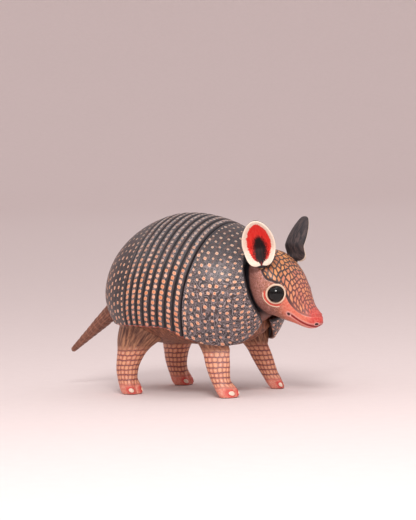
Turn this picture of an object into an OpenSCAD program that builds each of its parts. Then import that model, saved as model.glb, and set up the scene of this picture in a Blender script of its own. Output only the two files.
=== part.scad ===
// Carved and painted wooden armadillo, 116 mm long, standing on its four feet.
// +X is forward, +Y is the animal's left, +Z is up, and the soles stand on z = 0.
// The body is pegged and glued; the ears and the tail plug into drilled sockets.

/* [Shell] */
// Length of the shell dome behind its widest place
shell_rear = 36; // [35.5:0.5:36.5]
// Length of the shell dome in front of its widest place
shell_front = 40; // [39.5:0.5:40.5]
// Width of the shell
shell_width = 58.6; // [57.6:0.2:59.6]
// Height of the crown above the ground
shell_crown = 67.6; // [67:0.2:68.4]
// Wall of the shell cap
shell_wall = 3; // [2.6:0.1:3.2]
// Wall at the thinned rim
rim_wall = 1.2; // [1:0.1:1.6]

/* [Bands] */
// Number of carved grooves
groove_count = 9; // [7:1:9]
// Distance from one groove to the next
groove_pitch = 3.25; // [3:0.05:3.3]
// Depth of a groove
groove_depth = 0.5; // [0.3:0.1:0.7]
// Width of a groove at its mouth
groove_width = 0.9; // [0.7:0.1:1.2]

/* [Legs] */
// Distance between the front feet, centre to centre
foot_track = 33.6; // [33:0.2:34.4]
// Place of the front feet along the body
front_foot_x = 24.2; // [23.6:0.2:25]
// Place of the hind feet along the body
hind_foot_x = -20; // [-20.8:0.2:-19.4]
// Diameter of the leg dowels
leg_dowel_d = 3; // [2.5:0.1:3.2]

/* [Ears] */
// Length of an ear from its foot to its tip
ear_length = 18.5; // [17.7:0.2:19.1]
// Width of an ear
ear_width = 12.3; // [11.7:0.2:12.7]
// Diameter of the ear pegs
ear_peg_d = 2.2; // [2:0.1:2.4]

/* [Tail] */
// Length of the tail
tail_length = 37; // [35:0.5:38]
// Diameter of the tail at its root
tail_root_d = 8.4; // [8:0.1:8.6]
// Diameter of the tail peg
tail_peg_d = 3; // [2.8:0.1:3.2]

/* [Fits] */
// Radial clearance of a plug-in peg in its socket
peg_clearance = 0.05; // [0.03:0.01:0.08]

/* [Hidden] */
$fn = 48;

// The shell is a superellipsoid about this centre; its lower half is deeper over the shoulders.
shell_x = -2;
shell_z = 37;
shell_up = shell_crown - shell_z;
hind_drop = 27;
shoulder_drop = 33;
bulge = 1.92;
blunt = 1.9;

// Grooves lie in upright planes, the last one groove_end behind the front shield.
groove_end = 12;
groove_start = groove_end - (groove_count - 1) * groove_pitch;
band_tilt = 9;
collar_tilt = -13;
pivot_z = 38;
collar_pivot_z = 35;
tail_arch_z = 32.6;
tail_arch_angle = 15;
tail_arch_open = 105;
throat_dent_depth = 5;
throat_half_width = 7.5;
throat_x = 19;
throat_run = 11;
throat_top_z = 37;
throat_fall = 12;
collar_opening = 33;
collar_crown_rise = 9;
collar_throat_rise = 4;
lateral_steps = 28;
shield_steps = 9;
glue_gap = 0.3;

// Rim height along the body, from the rear to the shoulder lobe.
rim_heights = [[-60, 25.6], [-10, 26.3], [2, 26], [5, 25], [9, 22.4], [12, 20.4]];
rim_front_angle = 167;

// The belly rises towards the rump and the chest by these heights over these lengths.
belly_z = 18;
rump_rise = 10.5;
rump_x = -14;
rump_run = 20;
chest_rise = 5;
chest_start_x = 16;
chest_run = 12;
chest_x = 28;
trunk_end_inset = 1.2;
trunk_rear_steps = 9;
trunk_front_steps = 11;
trunk_sides = 32;

neck_axis_z = 41;
ear_foot = [36.3, 9.7, 48.2];
ear_lean_out = 22;
ear_lean_front = 6;
ear_turn_out = 60;
ear_wall = 1.4;
ear_seat_d = 5.4;
ear_stub_d = 4.4;
ear_stub_h = 1.8;
ear_leaf_foot = 0.8;
ear_socket_depth = 6;
ear_bore_depth = 3;
ear_bore_end_gap = 0.3;

eye_place = [41.2, 8.7, 38];
eye_r = 3.4;
eye_gap = 0.06;
eye_socket_turn = 90;

tail_root = [-31.5, 0, 36.8];
tail_slope = 37.4;
tail_socket_depth = 9;
tail_bore_depth = 8;
tail_seat_gap = 0.6;
tail_tip_r = 0.9;
peg_end_gap = 0.5;

nose_x = 54.6;
nose_r = 1.2;
nose_nod = 30;
tail_end_r = 0.5;
tail_end = 0.6;
tail_tip_x = tail_root.x - (tail_length + tail_end) * cos(tail_slope) - tail_end_r * sin(tail_slope);
nose_tip_x = nose_x + nose_r * sin(nose_nod);
centre_shift = -(nose_tip_x + tail_tip_x) / 2;

// ---- helpers ----

module placed() { translate([centre_shift, 0, 0]) children(); }

module left_of_right() { mirror([0, 1, 0]) children(); }

function smooth(t) = let (u = min(max(t, 0), 1)) u * u * (3 - 2 * u);

// A smooth curve through a list of keys, at t from 0 to the number of keys less one.
function through(keys, t) =
    let (i = min(floor(t), len(keys) - 2), f = t - i,
        a = keys[max(i - 1, 0)], b = keys[i], c = keys[i + 1], d = keys[min(i + 2, len(keys) - 1)])
    b + (c - a) * f / 2 + (a - 2.5 * b + 2 * c - 0.5 * d) * f * f
        + (1.5 * b - 1.5 * c + 0.5 * d - 0.5 * a) * f * f * f;

function power(v, e) = sign(v) * pow(abs(v), e);

// A closed solid over rings that all have the same number of points.
module loft(rings) {
    n = len(rings);
    m = len(rings[0]);
    polyhedron(
        points = [for (r = rings) each r],
        faces = concat(
            [[for (j = [0 : m - 1]) j]],
            [[for (j = [m - 1 : -1 : 0]) (n - 1) * m + j]],
            [for (i = [0 : n - 2], j = [0 : m - 1])
                [i * m + j, (i + 1) * m + j, (i + 1) * m + (j + 1) % m, i * m + (j + 1) % m]]),
        convexity = 4);
}

// A closed sheet between an outer and an inner grid of the same size.
module sheet(outer, inner) {
    n = len(outer);
    m = len(outer[0]);
    base = n * m;
    polyhedron(
        points = concat([for (r = outer) each r], [for (r = inner) each r]),
        faces = concat(
            [for (i = [0 : n - 2], j = [0 : m - 2])
                [i * m + j, i * m + j + 1, (i + 1) * m + j + 1, (i + 1) * m + j]],
            [for (i = [0 : n - 2], j = [0 : m - 2])
                [base + i * m + j, base + (i + 1) * m + j, base + (i + 1) * m + j + 1, base + i * m + j + 1]],
            [for (j = [0 : m - 2]) [j + 1, j, base + j, base + j + 1]],
            [for (j = [0 : m - 2])
                [(n - 1) * m + j, (n - 1) * m + j + 1, base + (n - 1) * m + j + 1, base + (n - 1) * m + j]],
            [for (i = [0 : n - 2]) [i * m, (i + 1) * m, base + (i + 1) * m, base + i * m]],
            [for (i = [0 : n - 2])
                [(i + 1) * m + m - 1, i * m + m - 1, base + i * m + m - 1, base + (i + 1) * m + m - 1]]),
        convexity = 6);
}

// ---- shell ----

function shell_drop(x) = hind_drop + (shoulder_drop - hind_drop) * smooth((x + 12) / 34);

// Below 1 inside the shell's outer surface and above 1 outside it.
function shell_field(p) =
    pow(abs(p.x - shell_x) / (p.x < shell_x ? shell_rear : shell_front), blunt)
    + pow(abs(p.y) / (shell_width / 2), bulge)
    + pow(abs(p.z - shell_z) / (p.z > shell_z ? shell_up : shell_drop(p.x)), bulge);

// Distance from a place inside the shell to its surface, by halving the interval.
function reach(p, d, low = 0, high = 70, n = 22) =
    let (mid = (low + high) / 2)
    n == 0 ? mid
    : shell_field(p + mid * d) < 1 ? reach(p, d, mid, high, n - 1)
    : reach(p, d, low, mid, n - 1);

// A ray leaves the pivot at angle a from an axis tipped down by t, and w round it, w = 0 pointing up.
function ray(a, w, t) =
    [cos(a) * cos(t) + sin(a) * cos(w) * sin(t), sin(a) * sin(w), sin(a) * cos(w) * cos(t) - cos(a) * sin(t)];

function rim_height(x) = lookup(x, rim_heights);

// Angle round the axis at which a section [pivot x, pivot z, kind, progress] meets the rim.
function rim_angle(s) = s[2] < 0 && s[3] == 1 ? tail_arch_open : rim_angle_between(s, 60, 165, 16);
function rim_angle_between(s, low, high, n) =
    let (mid = (low + high) / 2, d = ray(axis_angle(s, mid), mid, tilt_at(s)), p = [s[0], 0, s[1]],
        q = p + reach(p, d) * d)
    n == 0 ? mid
    : q.z > rim_height(q.x) ? rim_angle_between(s, mid, high, n - 1)
    : rim_angle_between(s, low, mid, n - 1);

// The lobes turn in towards the throat below the head.
function throat_dent(p) =
    throat_dent_depth * exp(-pow(p.y / throat_half_width, 2))
    * smooth((p.x - throat_x) / throat_run) * smooth((throat_top_z - p.z) / throat_fall);

function collar_angle(w) =
    collar_opening + collar_crown_rise * pow(cos(w / 2), 6) + collar_throat_rise * smooth((abs(w) - 130) / 40);

function tilt_at(s) =
    s[2] < 0 ? band_tilt * (1 - s[3]) : band_tilt + (collar_tilt - band_tilt) * s[3];
function axis_angle(s, w) =
    s[2] < 0 ? 90 + (90 - tail_arch_angle) * s[3]
    : s[2] > 0 ? 90 - (90 - collar_angle(w)) * s[3]
    : 90;

// Sections from the tail to the collar: [pivot x, pivot z, kind, progress, groove].
rear_sections = [for (k = [0 : shield_steps - 1])
    let (f = 1 - k / shield_steps)
    [groove_start - groove_width, pivot_z + (tail_arch_z - pivot_z) * smooth(f), -1, f, 0]];
band_sections = [for (g = [0 : groove_count - 1])
    let (x = groove_start + g * groove_pitch)
    each [for (s = g < groove_count - 1 ? [-1, 0, 1, 2] : [-1, 0, 1])
        let (xs = s == 2 ? x + groove_pitch / 2 : x + s * groove_width / 2)
        [xs, pivot_z, 0, 0, s == 0 ? groove_depth : 0]]];
front_sections = [for (k = [1 : shield_steps])
    let (f = k / shield_steps)
    [groove_end + groove_width, pivot_z + (collar_pivot_z - pivot_z) * f, 1, f, 0]];
sections = concat(rear_sections, band_sections, front_sections);

last_rim_angle = rim_angle(band_sections[len(band_sections) - 1]);
rim_angles = [for (s = sections)
    s[2] > 0 ? last_rim_angle + (rim_front_angle - last_rim_angle) * pow(s[3], 1.1) : rim_angle(s)];

// Wall along the ray: full inside, thin at the rim, the collar and the tail arch.
function wall_at(s, v) =
    rim_wall + (shell_wall - rim_wall) * (1 - pow(abs(v), 5)) * (1 - pow(s[3], 6));

function shell_point(i, v, depth) =
    let (s = sections[i], w = v * rim_angles[i], d = ray(axis_angle(s, w), w, tilt_at(s)), p = [s[0], 0, s[1]],
        q = p + reach(p, d) * d)
    q - (depth + throat_dent(q)) * d;

function shell_grid(inner) =
    [for (i = [0 : len(sections) - 1]) [for (j = [0 : lateral_steps])
        let (v = 2 * j / lateral_steps - 1)
        shell_point(i, v, inner ? wall_at(sections[i], v) : sections[i][4])]];

module carapace() {
    color("dimgray") placed() difference() {
        sheet(shell_grid(false), shell_grid(true));
        carapace_peg_bodies();
    }
}

// ---- trunk ----

core_gap = shell_wall + glue_gap;
core_rear = shell_rear - core_gap;
core_front = shell_front - core_gap;
function girth(x) =
    pow(max(0, 1 - pow(abs(x - shell_x) / (x < shell_x ? core_rear : core_front), blunt)), 1 / bulge);
function trunk_half_width(x) = (shell_width / 2 - core_gap) * girth(x);
function trunk_top(x) = shell_z + (shell_up - core_gap) * girth(x);
function trunk_bottom(x) =
    belly_z + rump_rise * pow(max(0, (rump_x - x) / rump_run), 2)
    + chest_rise * pow(max(0, (x - chest_start_x) / chest_run), 2);

function trunk_point(x, a) =
    let (c = cos(a), s = sin(a), e = 2 / bulge)
    [x, trunk_half_width(x) * power(c, e),
        shell_z + (s > 0 ? trunk_top(x) - shell_z : shell_z - trunk_bottom(x)) * power(s, e)];

// Lower surface of the trunk above a place on the ground, no higher than a leg may rise.
leg_top_z = 27;
function belly_over(x, y) =
    let (w = trunk_half_width(x), t = min(abs(y) / w, 1))
    min(leg_top_z, shell_z - (shell_z - trunk_bottom(x)) * pow(1 - pow(t, bulge), 1 / bulge)) - 0.1;

trunk_stations = concat(
    [for (k = [0 : trunk_rear_steps - 1])
        shell_x - (core_rear - trunk_end_inset) * cos(k * 90 / trunk_rear_steps)],
    [for (k = [0 : trunk_front_steps]) shell_x + (chest_x - shell_x) * k / trunk_front_steps]);

module trunk() {
    color("saddlebrown") placed() difference() {
        loft([for (x = trunk_stations)
            [for (j = [0 : trunk_sides - 1]) trunk_point(x, j * 360 / trunk_sides)]]);
        leg_dowel_bodies();
        carapace_peg_bodies();
        neck_dowel_body();
        on_tail_axis() translate([0, 0, -tail_socket_depth])
            cylinder(d = tail_peg_d + 2 * peg_clearance, h = tail_socket_depth + 10);
        on_tail_axis() cylinder(d = tail_root_d + 2 * tail_seat_gap, h = 10);
    }
}

carapace_peg_d = 3;
carapace_peg_length = 10.5;
carapace_peg_in_trunk = 9;
carapace_peg_places = [-17.2, 13.4];
module carapace_peg_bodies() {
    for (x = carapace_peg_places)
        translate([x, 0, trunk_top(x) - carapace_peg_in_trunk])
            cylinder(d = carapace_peg_d, h = carapace_peg_length);
}

module carapace_pegs() { color("burlywood") placed() carapace_peg_bodies(); }

// ---- legs ----

// Keys from the sole up: [height share, x offset, half length, half width], about the foot's centre.
front_leg_keys = [[0, -0.3, 2.7, 2.7], [0.06, -1, 3.3, 3.3], [0.14, -2, 3.5, 3.5], [0.25, -3.5, 3.6, 3.5],
    [0.35, -4.4, 4, 3.7], [0.5, -5.4, 4.6, 4.1], [0.67, -6.4, 5, 4.4], [0.85, -7.9, 6, 4.6],
    [1, -9.2, 7.2, 4.8]];
hind_leg_keys = [[0, -0.3, 3.3, 2.9], [0.06, -1, 3.7, 3.4], [0.14, -1.7, 3.7, 3.5], [0.27, -2.4, 4, 3.6],
    [0.4, -2.5, 4.5, 3.9], [0.55, -1.8, 5.2, 4.3], [0.7, -0.8, 6.3, 4.7], [0.85, 0.2, 8.2, 5],
    [1, 1.8, 10, 5.2]];
leg_rings = 24;
front_rim_z = 18;
hind_rim_z = 25.2;
leg_sides = 24;
leg_inward = 2.8;
toe_angles = [-32, 48];
toe_bump = 1.1;
toe_spread = 24;
leg_gap = 1.7;
leg_lean_in = 0.36;
leg_flare = 0.5;

function toe(h, a) =
    toe_bump * (1 - smooth((h - 0.1) / 0.16)) * smooth(h * 14 + 0.45)
    * max([for (t = toe_angles) exp(-pow((((a - t + 540) % 360) - 180) / toe_spread, 2))]);

function soft_min(a, b) = -ln(exp(-a) + exp(-b));

// How far out a leg may reach below the shell, whose rim is at the given height.
function leg_limit(x, z, rim) =
    (shell_width / 2) * pow(max(0, 1 - pow(abs(x - shell_x) / (x < shell_x ? shell_rear : shell_front), blunt)
        - pow(abs(max(z, rim) - shell_z) / shell_drop(x), bulge)), 1 / bulge)
    - leg_gap - leg_lean_in * max(0, z - rim) + leg_flare * max(0, rim - z);

function leg_point(keys, foot_x, rim, t, a, shrink = 1) =
    let (k = through(keys, t), h = k[0], grow = 1 + toe(h, a) / k[2],
        x = foot_x + k[1] + shrink * k[2] * grow * cos(a),
        out = foot_track / 2 - leg_inward * smooth(h) + shrink * k[3] * grow * sin(a),
        level = belly_over(foot_x + k[1], foot_track / 2 - leg_inward),
        z = h * level + (belly_over(x, out) - level) * pow(h, 4),
        y = soft_min(out, leg_limit(x, z, rim)))
    [x, -y, h * level + (belly_over(x, y) - level) * pow(h, 4)];

module leg(keys, foot_x, rim) {
    top = len(keys) - 1;
    difference() {
        loft(concat(
            [for (k = [0 : leg_rings])
                [for (j = [0 : leg_sides - 1])
                    leg_point(keys, foot_x, rim, top * k / leg_rings, -j * 360 / leg_sides)]],
            [for (shrink = [0.7, 0.4, 0.1])
                [for (j = [0 : leg_sides - 1])
                    leg_point(keys, foot_x, rim, top, -j * 360 / leg_sides, shrink)]]));
        leg_dowel_bodies();
    }
}

leg_dowel_bottom = 13;
leg_dowel_length = 14;
leg_dowel_inset = 3.1;
front_dowel_back = 7.6;
hind_dowel_back = 0.6;
front_dowel_x = front_foot_x - front_dowel_back;
hind_dowel_x = hind_foot_x - hind_dowel_back;
module leg_dowel_bodies() {
    for (x = [front_dowel_x, hind_dowel_x], side = [-1, 1])
        translate([x, side * (foot_track / 2 - leg_dowel_inset), leg_dowel_bottom])
            cylinder(d = leg_dowel_d, h = leg_dowel_length);
}

module leg_front_right() { color("peru") placed() leg(front_leg_keys, front_foot_x, front_rim_z); }
module leg_front_left() {
    color("peru") placed() left_of_right() leg(front_leg_keys, front_foot_x, front_rim_z);
}
module leg_hind_right() { color("peru") placed() leg(hind_leg_keys, hind_foot_x, hind_rim_z); }
module leg_hind_left() { color("peru") placed() left_of_right() leg(hind_leg_keys, hind_foot_x, hind_rim_z); }
module leg_dowels() { color("burlywood") placed() leg_dowel_bodies(); }

// ---- head ----

// Keys from the neck to the nose: [x, z, nod, half width, rise, fall].
head_keys = [[28, 40.4, 0, 10.6, 12.6, 14], [31.4, 41, 3, 11.5, 12.7, 12.8],
    [35.4, 40.6, 11, 12, 12, 11.2], [40, 38.3, 22, 10.9, 9.3, 9.8], [44.2, 34.2, 32, 8, 6.9, 7.7],
    [47.6, 30.5, 36, 5.7, 4.7, 5.1], [50.6, 28.3, 35, 4.4, 3.6, 3.9], [52.7, 27.2, 33, 3.4, 2.9, 3],
    [nose_x, 26.5, nose_nod, 1.3, nose_r, 1.1]];
head_rings = 30;
head_sides = 28;
head_round = 2.15;

function head_point(t, a) =
    let (k = through(head_keys, t), e = 2 / head_round,
        across = k[3] * power(cos(a), e), up = (sin(a) > 0 ? k[4] : k[5]) * power(sin(a), e))
    [k[0] + up * sin(k[2]), across, k[1] + up * cos(k[2])];

module head() {
    top = len(head_keys) - 1;
    color("indianred") placed() difference() {
        loft([for (k = [0 : head_rings])
            [for (j = [0 : head_sides - 1]) head_point(top * k / head_rings, j * 360 / head_sides)]]);
        neck_dowel_body();
        for (side = [0, 1]) mirror([0, side, 0]) {
            on_right_ear() {
                translate([0, 0, -ear_socket_depth])
                    cylinder(d = ear_peg_d + 2 * peg_clearance, h = ear_socket_depth + 4);
                cylinder(d = ear_seat_d, h = 6);
            }
            at_right_eye() rotate([0, 0, eye_socket_turn]) sphere(r = eye_r + eye_gap);
        }
    }
}

neck_dowel_d = 5;
neck_dowel_length = 18;
module neck_dowel_body() {
    translate([chest_x - neck_dowel_length / 2, 0, neck_axis_z])
        rotate([0, 90, 0]) cylinder(d = neck_dowel_d, h = neck_dowel_length);
}
module neck_dowel() { color("burlywood") placed() neck_dowel_body(); }

module at_right_eye() { translate([eye_place.x, -eye_place.y, eye_place.z]) children(); }

module eye_right() { color("black") placed() at_right_eye() sphere(r = eye_r); }
module eye_left() { color("black") placed() left_of_right() at_right_eye() sphere(r = eye_r); }

// ---- ears ----

// The ear's own frame: z along the peg, x out of its hollow side.
module on_right_ear() {
    translate([ear_foot.x, -ear_foot.y, ear_foot.z])
        rotate([ear_lean_out, ear_lean_front, 0]) rotate([0, 0, -ear_turn_out]) children();
}

ear_rows = 14;
ear_columns = 12;
ear_widest = 0.87;
ear_fullness = 0.48;
ear_cup = 4;
ear_opening = 0.55;
ear_tip_curl = 0.8;
ear_root_wall = 3;
ear_root_share = 0.35;
function ear_half_width(u) =
    (ear_width / 2) * pow(max(sin(180 * pow(u, ear_widest)), 0.02), ear_fullness);
function ear_point(u, v, side) =
    let (w = ear_half_width(u), cup = ear_cup * (1 - ear_opening * u) * w * 2 / ear_width,
        wall = ear_wall + ear_root_wall * (1 - smooth(u / ear_root_share)))
    [cup * (v * v - smooth((u - 0.05) / 0.28)) + side * wall / 2 * (1 - 0.35 * pow(abs(v), 4))
        + ear_tip_curl * u * u,
        w * v, ear_leaf_foot + u * (ear_length - ear_leaf_foot)];

function ear_grid(side) =
    [for (k = [0 : ear_rows]) [for (j = [0 : ear_columns])
        ear_point(0.02 + 0.975 * k / ear_rows, 2 * j / ear_columns - 1, side)]];

module ear_body() {
    difference() {
        union() {
            sheet(ear_grid(-1), ear_grid(1));
            cylinder(d = ear_stub_d, h = ear_stub_h);
        }
        translate([0, 0, -1]) cylinder(d = ear_peg_d + 2 * peg_clearance, h = ear_bore_depth + 1);
    }
}

module ear_peg_body() {
    translate([0, 0, -ear_socket_depth + peg_end_gap])
        cylinder(d = ear_peg_d, h = ear_socket_depth - peg_end_gap + ear_bore_depth - ear_bore_end_gap);
}

module ear_right() { color("firebrick") placed() on_right_ear() ear_body(); }
module ear_left() { color("firebrick") placed() left_of_right() on_right_ear() ear_body(); }
module ear_peg_right() { color("burlywood") placed() on_right_ear() ear_peg_body(); }
module ear_peg_left() { color("burlywood") placed() left_of_right() on_right_ear() ear_peg_body(); }

// ---- tail ----

// The tail's own frame: z along the tail, away from the body.
module on_tail_axis() { translate(tail_root) rotate([0, -90 - tail_slope, 0]) children(); }

tail_rings = 12;
tail_sides = 20;
function tail_radius(f) = tail_tip_r + (tail_root_d / 2 - tail_tip_r) * pow(1 - f, 0.9);

module tail() {
    color("sienna") placed() on_tail_axis() difference() {
        loft(concat(
            [for (k = [0 : tail_rings]) let (f = k / tail_rings)
                [for (j = [0 : tail_sides - 1]) let (a = j * 360 / tail_sides)
                    [tail_radius(f) * cos(a), tail_radius(f) * sin(a), f * tail_length]]],
            [[for (j = [0 : tail_sides - 1]) let (a = j * 360 / tail_sides)
                [tail_end_r * cos(a), tail_end_r * sin(a), tail_length + tail_end]]]));
        translate([0, 0, -1]) cylinder(d = tail_peg_d + 2 * peg_clearance, h = tail_bore_depth + 1);
    }
}

module tail_peg() {
    color("burlywood") placed() on_tail_axis() translate([0, 0, -tail_socket_depth + peg_end_gap])
        cylinder(d = tail_peg_d, h = tail_socket_depth + tail_bore_depth - 2 * peg_end_gap);
}

trunk();
carapace();
carapace_pegs();
head();
neck_dowel();
eye_right();
eye_left();
ear_right();
ear_left();
ear_peg_right();
ear_peg_left();
leg_front_right();
leg_front_left();
leg_hind_right();
leg_hind_left();
leg_dowels();
tail();
tail_peg();
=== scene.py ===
"""Looks of the carved and painted wooden armadillo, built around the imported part.

All shapes are worked out in millimetres in the carving's own frame, and shifted by SHIFT_X
into the part's frame.
"""

import math

import bpy
import numpy as np
from mathutils import Matrix, Vector


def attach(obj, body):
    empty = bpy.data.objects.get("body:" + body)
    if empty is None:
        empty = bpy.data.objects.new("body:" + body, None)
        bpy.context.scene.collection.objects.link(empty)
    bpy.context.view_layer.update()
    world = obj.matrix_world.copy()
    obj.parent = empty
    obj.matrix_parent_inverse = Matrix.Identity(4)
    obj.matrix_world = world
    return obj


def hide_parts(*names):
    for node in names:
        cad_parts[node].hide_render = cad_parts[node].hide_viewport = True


MM = 0.001
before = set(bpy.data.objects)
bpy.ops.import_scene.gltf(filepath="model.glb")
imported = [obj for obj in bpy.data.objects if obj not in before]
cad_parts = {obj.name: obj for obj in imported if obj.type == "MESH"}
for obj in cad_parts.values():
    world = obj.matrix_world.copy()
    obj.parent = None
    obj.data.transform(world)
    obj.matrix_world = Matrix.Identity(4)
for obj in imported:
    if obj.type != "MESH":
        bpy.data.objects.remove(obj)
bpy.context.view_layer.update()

# ---- sizes shared with the part, in millimetres ----

SHIFT_X = 3.23684
SHELL_X, SHELL_Z = -2.0, 37.0
SHELL_REAR, SHELL_FRONT, SHELL_WIDTH, SHELL_CROWN = 36.0, 40.0, 58.6, 67.6
SHELL_UP = SHELL_CROWN - SHELL_Z
HIND_DROP, SHOULDER_DROP, DROP_FROM_X, DROP_OVER = 27.0, 33.0, -12.0, 34.0
BULGE, BLUNT = 1.92, 1.9
WALL, RIM_WALL = 3.0, 1.2
GROOVES, PITCH, GROOVE_DEPTH, GROOVE_WIDTH = 9, 3.25, 0.5, 0.9
GROOVE_END = 12.0
GROOVE_START = GROOVE_END - (GROOVES - 1) * PITCH
BAND_TILT, COLLAR_TILT = 9.0, -13.0
PIVOT_Z, COLLAR_PIVOT_Z = 38.0, 35.0
ARCH_Z, ARCH_ANGLE, ARCH_OPEN = 32.6, 15.0, 105.0
THROAT_DENT, THROAT_WIDTH, THROAT_X, THROAT_Z = 5.0, 7.5, 19.0, 37.0
GLUE_GAP = 0.3
# Height of the shell's lower rim along x.
RIM_X = [-60, -10, 2, 5, 9, 12]
RIM_Z = [25.6, 26.3, 26, 25, 22.4, 20.4]
RIM_FRONT_ANGLE, RIM_SWEEP, ARCH_RING = 167.0, 1.1, 8 / 9
FOOT_TRACK, FRONT_FOOT_X, HIND_FOOT_X = 33.6, 24.2, -20.0
BELLY_Z, CHEST_X, LEG_TOP_Z = 18.0, 28.0, 27.0
EAR_FOOT = (36.3, 9.7, 48.2)
EAR_LEAN_OUT, EAR_LEAN_FRONT, EAR_TURN_OUT = 22.0, 6.0, 60.0
EAR_LENGTH, EAR_WIDTH, EAR_WALL = 18.5, 12.3, 1.4
EAR_WIDEST, EAR_FULLNESS, EAR_CUP, EAR_OPENING = 0.87, 0.48, 4.0, 0.55
EAR_ROOT_WALL, EAR_ROOT_SHARE, EAR_TIP_CURL = 3.0, 0.35, 0.8
EAR_LEAF_FOOT, EAR_STUB_D, EAR_STUB_H, EAR_BORE_R = 0.8, 4.4, 1.8, 1.15
EYE = (41.2, 8.7, 38.0)
EYE_R, EYE_AHEAD = 3.4, 0.33035
TAIL_ROOT, TAIL_SLOPE, TAIL_LENGTH, TAIL_END = (-31.5, 0.0, 36.8), 37.4, 37.0, 0.6
TAIL_ROOT_D, TAIL_TIP_R, TAIL_BORE_R, TAIL_BORE_DEPTH = 8.4, 0.9, 1.55, 8.0
NOSE_X = 54.6


def smooth(t):
    u = np.clip(t, 0, 1)
    return u * u * (3 - 2 * u)


def power(v, e):
    return np.sign(v) * np.abs(v) ** e


def through(keys, t):
    """A smooth curve through a list of keys, at t from 0 to the number of keys less one."""
    k = np.asarray(keys, float)
    t = np.asarray(t, float)
    i = np.clip(np.floor(t).astype(int), 0, len(k) - 2)
    f = (t - i)[..., None]
    a, b, c, d = k[np.maximum(i - 1, 0)], k[i], k[i + 1], k[np.minimum(i + 2, len(k) - 1)]
    return (b + (c - a) * f / 2 + (a - 2.5 * b + 2 * c - 0.5 * d) * f * f
            + (1.5 * b - 1.5 * c + 0.5 * d - 0.5 * a) * f ** 3)


def cosd(a):
    return np.cos(np.radians(a))


def sind(a):
    return np.sin(np.radians(a))


def rotation(angle, axis):
    return Matrix.Rotation(math.radians(angle), 3, axis)


def bell(x, width):
    return np.exp(-(x / width) ** 2)


def ripple(p, size, seed):
    """Smooth irregular waves over points in millimetres, about -1 to 1, with one seed per surface."""
    rng = np.random.default_rng(seed)
    total = np.zeros(p.shape[:-1])
    for _ in range(7):
        way = rng.normal(size=3)
        way *= 2 * math.pi / (np.linalg.norm(way) * size * rng.uniform(0.6, 1.6))
        total += np.sin(p @ way + rng.uniform(0, 2 * math.pi))
    return total / 4


# ---- meshes ----

def new_object(name, data):
    made = bpy.data.objects.new(name, data)
    bpy.context.collection.objects.link(made)
    return made


def mesh_piece(name, points, faces, attributes, material, body, nodes, slot, flip):
    """A mesh object from points in the carving's frame, with named values per point for its material."""
    if flip:
        faces = [f[::-1] for f in faces]
    mesh = bpy.data.meshes.new(name)
    shifted = (np.asarray(points) + [SHIFT_X, 0, 0]) * MM
    mesh.from_pydata(shifted.tolist(), [], faces)
    mesh.shade_smooth()
    for key, values in attributes.items():
        layer = mesh.attributes.new(key, "FLOAT", "POINT")
        layer.data.foreach_set("value", np.asarray(values, np.float32).ravel())
    mesh.update()
    piece = new_object(name, mesh)
    mesh.materials.append(material)
    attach(piece, body)
    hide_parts(*nodes)


def grid_faces(rows, columns, base=0, wrap=False, flip=False, closed=False):
    """Quads over a grid of points stored row by row; wrap joins its sides, and closed its ends."""
    faces = []
    for i in range(rows if closed else rows - 1):
        for j in range(columns if wrap else columns - 1):
            k = (j + 1) % columns
            near, far = base + i * columns, base + (i + 1) % rows * columns
            quad = [near + j, near + k, far + k, far + j]
            faces.append(quad[::-1] if flip else quad)
    return faces


def sheet_faces(rows, columns):
    """Faces of a closed sheet: a front grid, then a back grid, then the strips round the four sides."""
    back = rows * columns
    faces = grid_faces(rows, columns) + grid_faces(rows, columns, back, flip=True)
    grid = np.arange(back).reshape(rows, columns)
    ring = np.concatenate([grid[0], grid[1:, -1], grid[-1, -2::-1], grid[-2:0:-1, 0]]).tolist()
    for a, b in zip(ring, ring[1:] + ring[:1]):
        faces.append([b, a, back + a, back + b])
    return faces


def sheet_piece(name, front, back, attributes, *look, flip):
    """A closed sheet between two grids of points; the back repeats the front's attributes."""
    rows, columns = front.shape[:2]
    points = np.concatenate([front.reshape(-1, 3), back.reshape(-1, 3)])
    values = {k: np.concatenate([np.ravel(v), np.ravel(v)]) for k, v in attributes.items()}
    values["side"] = np.concatenate([np.zeros(rows * columns), np.ones(rows * columns)])
    mesh_piece(name, points, sheet_faces(rows, columns), values, *look, flip)


def loft_piece(name, rings, attributes, *look, flip):
    """A closed skin over rings of points, with a point in the middle of each end."""
    rows, columns = rings.shape[:2]
    ends = [rings[0].mean(0), rings[-1].mean(0)]
    points = np.concatenate([rings.reshape(-1, 3), ends])
    faces = grid_faces(rows, columns, wrap=True)
    first, last = rows * columns, rows * columns + 1
    for j in range(columns):
        k = (j + 1) % columns
        faces.append([first, k, j])
        faces.append([last, (rows - 1) * columns + j, (rows - 1) * columns + k])
    values = {k: np.concatenate([np.ravel(v), [v[0].mean(), v[-1].mean()]]) for k, v in attributes.items()}
    mesh_piece(name, points, faces, values, *look, flip)


def ring_angles(columns):
    return np.arange(columns)[None, :] * 360 / columns


def step_lengths(points, axis):
    return np.linalg.norm(np.diff(points, axis=axis), axis=-1)


def running(steps, axis):
    """Sums of steps along an axis, from zero."""
    return np.cumsum(np.insert(steps, 0, 0, axis), axis)


def line_distance(points, line):
    """Distance from points to a line of straight steps."""
    best = np.full(points.shape[:-1], 1e9)
    for a, b in zip(line[:-1], line[1:]):
        way = b - a
        t = np.clip(((points - a) @ way) / (way @ way + 1e-9), 0, 1)
        best = np.minimum(best, np.linalg.norm(points - a - t[..., None] * way, axis=-1))
    return best


def curve_distance(points, keys, steps=60):
    """Distance from points to a smooth curve through keys."""
    return line_distance(points, through(keys, np.linspace(0, len(keys) - 1, steps)))


# ---- materials ----

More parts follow.
